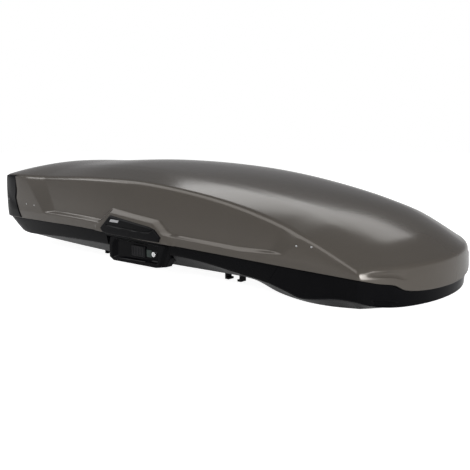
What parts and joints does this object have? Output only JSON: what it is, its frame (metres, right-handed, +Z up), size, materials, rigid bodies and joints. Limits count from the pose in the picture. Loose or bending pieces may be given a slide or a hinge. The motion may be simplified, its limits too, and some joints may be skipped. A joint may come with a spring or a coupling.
{
  "type": "roof cargo box",
  "caption": "Long low roof box with a lid that opens from either side, on a black base with claws for roof bars.",
  "frame": {"origin": "middle of the length and width, at the lowest point of the chin under the nose", "axes": "+X to the nose (front of the car), +Z up, -Y to the near side"},
  "size_m": [1.9207, 0.8292, 0.3605],
  "materials": {
    "lid_titan": "satin metallic brown-grey",
    "trim_gloss_black": "gloss",
    "moulding_black": "fine grained",
    "tub_black": "grained sheet",
    "felt_grey": "needled felt",
    "rubber_black": "matt",
    "steel": "zinc plated",
    "chrome": "satin chrome",
    "knob_red": "moulded"
  },
  "bodies": {
    "base": {"base_tub": "tub_black", "tub_floor": "tub_black", "skirt_near": "trim_gloss_black", "skirt_far": "trim_gloss_black", "nose_skirt": "trim_gloss_black", "tail_skirt": "trim_gloss_black", "rim_seal": "rubber_black", "floor_mat": "felt_grey", "hinge_cradle_near_rear": "moulding_black", "hinge_cradle_near_front": "moulding_black", "hinge_cradle_far_rear": "moulding_black", "hinge_cradle_far_front": "moulding_black", "lifter_base_bracket_front": "moulding_black", "lifter_base_bracket_rear": "moulding_black", "clamp_housing_front_near": "moulding_black", "clamp_housing_front_far": "moulding_black", "clamp_housing_rear_near": "moulding_black", "clamp_housing_rear_far": "moulding_black", "lock_housing_near": "trim_gloss_black", "lock_housing_far": "trim_gloss_black"},
    "far_rod": {"hinge_rod_far": "steel"},
    "lid": {"lid_shell": "lid_titan", "lid_rib_rear": "moulding_black", "lid_rib_front": "moulding_black", "tail_cover": "trim_gloss_black", "handle_near": "moulding_black", "handle_far": "moulding_black", "hinge_rod_near": "steel", "lid_hanger_near_rear": "moulding_black", "lid_hanger_near_front": "moulding_black", "lid_hanger_far_rear": "moulding_black", "lid_hanger_far_front": "moulding_black", "lifter_lid_bracket_front": "moulding_black", "lifter_lid_bracket_rear": "moulding_black"},
    "lower_arm_front_near": {"lifter_lower_arm_front_near": "steel"},
    "upper_arm_front_near": {"lifter_upper_arm_front_near": "steel"},
    "lower_arm_front_far": {"lifter_lower_arm_front_far": "steel"},
    "upper_arm_front_far": {"lifter_upper_arm_front_far": "steel"},
    "lower_arm_rear_near": {"lifter_lower_arm_rear_near": "steel"},
    "upper_arm_rear_near": {"lifter_upper_arm_rear_near": "steel"},
    "lower_arm_rear_far": {"lifter_lower_arm_rear_far": "steel"},
    "upper_arm_rear_far": {"lifter_upper_arm_rear_far": "steel"},
    "knob_front_near": {"clamp_knob_front_near": "knob_red"},
    "jaw_front_near_rear": {"clamp_jaw_front_near_rear": "moulding_black"},
    "jaw_front_near_front": {"clamp_jaw_front_near_front": "moulding_black"},
    "knob_front_far": {"clamp_knob_front_far": "knob_red"},
    "jaw_front_far_rear": {"clamp_jaw_front_far_rear": "moulding_black"},
    "jaw_front_far_front": {"clamp_jaw_front_far_front": "moulding_black"},
    "knob_rear_near": {"clamp_knob_rear_near": "knob_red"},
    "jaw_rear_near_rear": {"clamp_jaw_rear_near_rear": "moulding_black"},
    "jaw_rear_near_front": {"clamp_jaw_rear_near_front": "moulding_black"},
    "knob_rear_far": {"clamp_knob_rear_far": "knob_red"},
    "jaw_rear_far_rear": {"clamp_jaw_rear_far_rear": "moulding_black"},
    "jaw_rear_far_front": {"clamp_jaw_rear_far_front": "moulding_black"},
    "slider_near": {"lock_slider_near": "moulding_black"},
    "bar_near": {"lock_bar_near": "steel"},
    "key_near": {"key_cylinder_near": "chrome"},
    "slider_far": {"lock_slider_far": "moulding_black"},
    "bar_far": {"lock_bar_far": "steel"},
    "key_far": {"key_cylinder_far": "chrome"}
  },
  "joints": [
    {"name": "lid_open_far", "type": "hinge", "parent": "base", "child": "far_rod", "pos_m": [0, -0.345, 0.104], "axis": [1, 0, 0], "range_deg": [0, 42]},
    {"name": "lid_open_near", "type": "hinge", "parent": "far_rod", "child": "lid", "pos_m": [0, 0.345, 0.104], "axis": [1, 0, 0], "range_deg": [-42, 0]},
    {"name": "lower_arm_front_near_pivot", "type": "hinge", "parent": "base", "child": "lower_arm_front_near", "pos_m": [0.44, 0, 0.059], "axis": [1, 0, 0], "range_deg": [-42, 0]},
    {"name": "upper_arm_front_near_pivot", "type": "hinge", "parent": "lid", "child": "upper_arm_front_near", "pos_m": [0.44, 0, 0.149], "axis": [1, 0, 0], "range_deg": [0, 42]},
    {"name": "lower_arm_front_far_pivot", "type": "hinge", "parent": "base", "child": "lower_arm_front_far", "pos_m": [0.44, 0, 0.059], "axis": [1, 0, 0], "range_deg": [0, 42]},
    {"name": "upper_arm_front_far_pivot", "type": "hinge", "parent": "lid", "child": "upper_arm_front_far", "pos_m": [0.44, 0, 0.149], "axis": [1, 0, 0], "range_deg": [-42, 0]},
    {"name": "lower_arm_rear_near_pivot", "type": "hinge", "parent": "base", "child": "lower_arm_rear_near", "pos_m": [-0.56, 0, 0.059], "axis": [1, 0, 0], "range_deg": [-42, 0]},
    {"name": "upper_arm_rear_near_pivot", "type": "hinge", "parent": "lid", "child": "upper_arm_rear_near", "pos_m": [-0.56, 0, 0.149], "axis": [1, 0, 0], "range_deg": [0, 42]},
    {"name": "lower_arm_rear_far_pivot", "type": "hinge", "parent": "base", "child": "lower_arm_rear_far", "pos_m": [-0.56, 0, 0.059], "axis": [1, 0, 0], "range_deg": [0, 42]},
    {"name": "upper_arm_rear_far_pivot", "type": "hinge", "parent": "lid", "child": "upper_arm_rear_far", "pos_m": [-0.56, 0, 0.149], "axis": [1, 0, 0], "range_deg": [-42, 0]},
    {"name": "knob_turn_front_near", "type": "hinge", "parent": "base", "child": "knob_front_near", "pos_m": [0.354, -0.268, 0.066], "axis": [0, 0, 1], "range_deg": [0, 180]},
    {"name": "jaw_slide_front_near_rear", "type": "slide", "parent": "base", "child": "jaw_front_near_rear", "axis": [1, 0, 0], "range_m": [0, 0.009]},
    {"name": "jaw_slide_front_near_front", "type": "slide", "parent": "base", "child": "jaw_front_near_front", "axis": [-1, 0, 0], "range_m": [0, 0.009]},
    {"name": "knob_turn_front_far", "type": "hinge", "parent": "base", "child": "knob_front_far", "pos_m": [0.354, 0.268, 0.066], "axis": [0, 0, 1], "range_deg": [0, 180]},
    {"name": "jaw_slide_front_far_rear", "type": "slide", "parent": "base", "child": "jaw_front_far_rear", "axis": [1, 0, 0], "range_m": [0, 0.009]},
    {"name": "jaw_slide_front_far_front", "type": "slide", "parent": "base", "child": "jaw_front_far_front", "axis": [-1, 0, 0], "range_m": [0, 0.009]},
    {"name": "knob_turn_rear_near", "type": "hinge", "parent": "base", "child": "knob_rear_near", "pos_m": [-0.28, -0.268, 0.066], "axis": [0, 0, 1], "range_deg": [0, 180]},
    {"name": "jaw_slide_rear_near_rear", "type": "slide", "parent": "base", "child": "jaw_rear_near_rear", "axis": [1, 0, 0], "range_m": [0, 0.009]},
    {"name": "jaw_slide_rear_near_front", "type": "slide", "parent": "base", "child": "jaw_rear_near_front", "axis": [-1, 0, 0], "range_m": [0, 0.009]},
    {"name": "knob_turn_rear_far", "type": "hinge", "parent": "base", "child": "knob_rear_far", "pos_m": [-0.28, 0.268, 0.066], "axis": [0, 0, 1], "range_deg": [0, 180]},
    {"name": "jaw_slide_rear_far_rear", "type": "slide", "parent": "base", "child": "jaw_rear_far_rear", "axis": [1, 0, 0], "range_m": [0, 0.009]},
    {"name": "jaw_slide_rear_far_front", "type": "slide", "parent": "base", "child": "jaw_rear_far_front", "axis": [-1, 0, 0], "range_m": [0, 0.009]},
    {"name": "lock_slide_near", "type": "slide", "parent": "base", "child": "slider_near", "axis": [-1, 0, 0], "range_m": [0, 0.02]},
    {"name": "lock_bar_slide_near", "type": "slide", "parent": "base", "child": "bar_near", "axis": [0, -1, 0], "range_m": [0, 0.01]},
    {"name": "key_turn_near", "type": "hinge", "parent": "base", "child": "key_near", "pos_m": [0.088, -0.373, 0.076], "axis": [0, -1, 0], "range_deg": [0, 90]},
    {"name": "lock_slide_far", "type": "slide", "parent": "base", "child": "slider_far", "axis": [-1, 0, 0], "range_m": [0, 0.02]},
    {"name": "lock_bar_slide_far", "type": "slide", "parent": "base", "child": "bar_far", "axis": [0, 1, 0], "range_m": [0, 0.01]},
    {"name": "key_turn_far", "type": "hinge", "parent": "base", "child": "key_far", "pos_m": [0.088, 0.373, 0.076], "axis": [0, 1, 0], "range_deg": [0, 90]}
  ],
  "couplings": [
    {"joint": "lower_arm_front_near_pivot", "follows": "lid_open_near", "ratio": 1},
    {"joint": "upper_arm_front_near_pivot", "follows": "lid_open_near", "ratio": -1},
    {"joint": "lower_arm_front_far_pivot", "follows": "lid_open_far", "ratio": 1},
    {"joint": "upper_arm_front_far_pivot", "follows": "lid_open_far", "ratio": -1},
    {"joint": "lower_arm_rear_near_pivot", "follows": "lid_open_near", "ratio": 1},
    {"joint": "upper_arm_rear_near_pivot", "follows": "lid_open_near", "ratio": -1},
    {"joint": "lower_arm_rear_far_pivot", "follows": "lid_open_far", "ratio": 1},
    {"joint": "upper_arm_rear_far_pivot", "follows": "lid_open_far", "ratio": -1},
    {"joint": "jaw_slide_front_near_rear", "follows": "knob_turn_front_near", "m_per_rad": 0.00286},
    {"joint": "jaw_slide_front_near_front", "follows": "knob_turn_front_near", "m_per_rad": 0.00286},
    {"joint": "jaw_slide_front_far_rear", "follows": "knob_turn_front_far", "m_per_rad": 0.00286},
    {"joint": "jaw_slide_front_far_front", "follows": "knob_turn_front_far", "m_per_rad": 0.00286},
    {"joint": "jaw_slide_rear_near_rear", "follows": "knob_turn_rear_near", "m_per_rad": 0.00286},
    {"joint": "jaw_slide_rear_near_front", "follows": "knob_turn_rear_near", "m_per_rad": 0.00286},
    {"joint": "jaw_slide_rear_far_rear", "follows": "knob_turn_rear_far", "m_per_rad": 0.00286},
    {"joint": "jaw_slide_rear_far_front", "follows": "knob_turn_rear_far", "m_per_rad": 0.00286},
    {"joint": "lock_bar_slide_near", "follows": "lock_slide_near", "ratio": 0.5},
    {"joint": "lock_bar_slide_far", "follows": "lock_slide_far", "ratio": 0.5}
  ]
}
